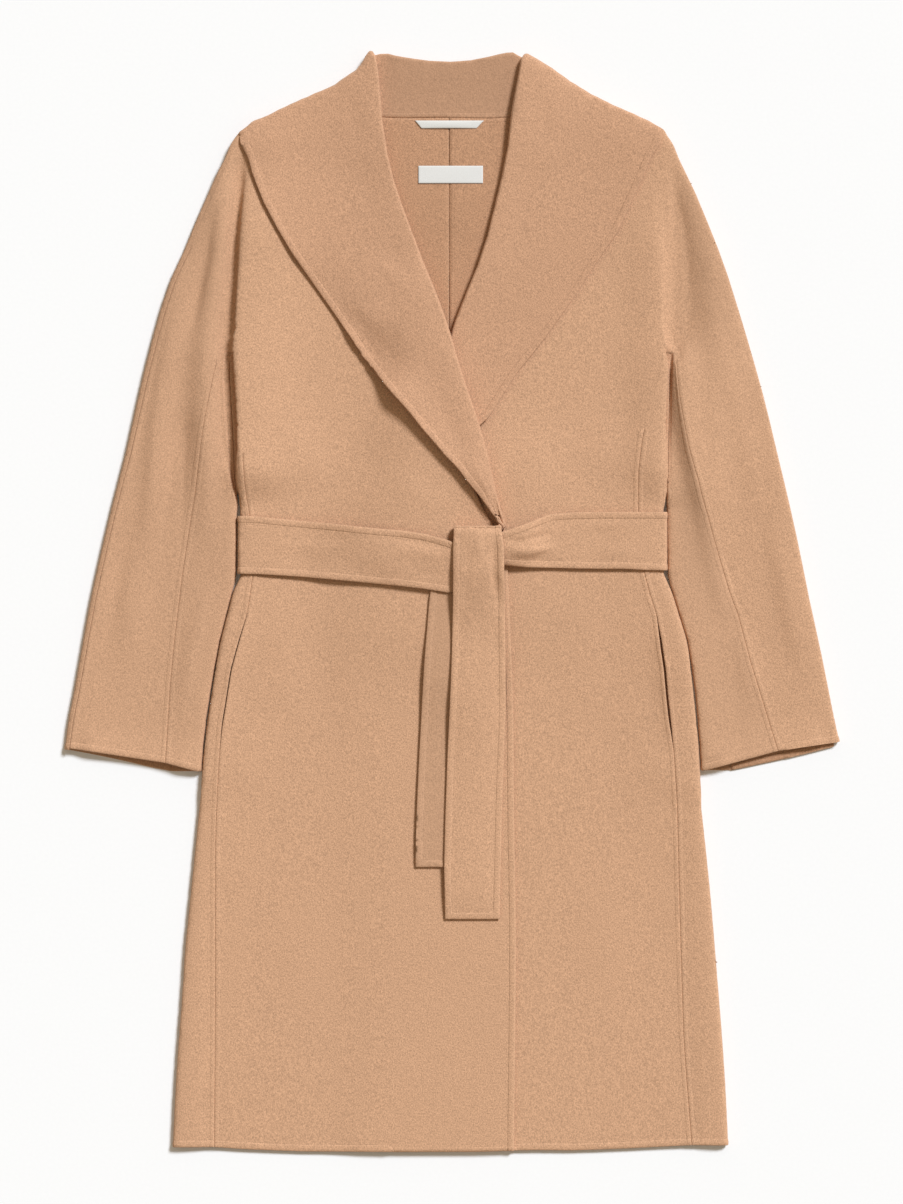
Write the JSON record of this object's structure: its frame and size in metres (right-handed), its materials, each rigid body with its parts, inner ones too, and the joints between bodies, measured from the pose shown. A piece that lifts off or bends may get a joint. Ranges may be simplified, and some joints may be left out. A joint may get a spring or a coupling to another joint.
{
  "type": "wool wrap coat",
  "caption": "Long camel wool wrap coat with a shawl collar, kimono sleeves, side seam pockets and a tied belt, laid flat on its back.",
  "frame": {"origin": "centre of the bounding box in plan, at the flat underside of the laid-out coat", "axes": "+Y from the hem to the collar, +Z out of the cloth towards the front of the coat, +X towards the wearer's left side"},
  "size_m": [0.776, 1.1006, 0.0296],
  "materials": {
    "wool": "soft double-face wool, short nap",
    "wool_inside": "the wool's inner face, short nap",
    "woven_tape": "plain woven tape",
    "woven_label": "plain woven label, blank"
  },
  "bodies": {
    "root": {"back_right": "wool_inside", "back_left": "wool_inside", "front_right": "wool", "front_left": "wool", "side_panel_right": "wool", "side_panel_left": "wool", "under_sleeve_right": "wool", "under_sleeve_left": "wool", "shawl_collar": "wool", "belt_right_half": "wool", "belt_left_half": "wool", "belt_tail_over": "wool", "belt_tail_under": "wool", "pocket_facing_right": "wool", "pocket_facing_left": "wool", "hanger_strip": "woven_tape", "neck_label": "woven_label"}
  },
  "joints": []
}
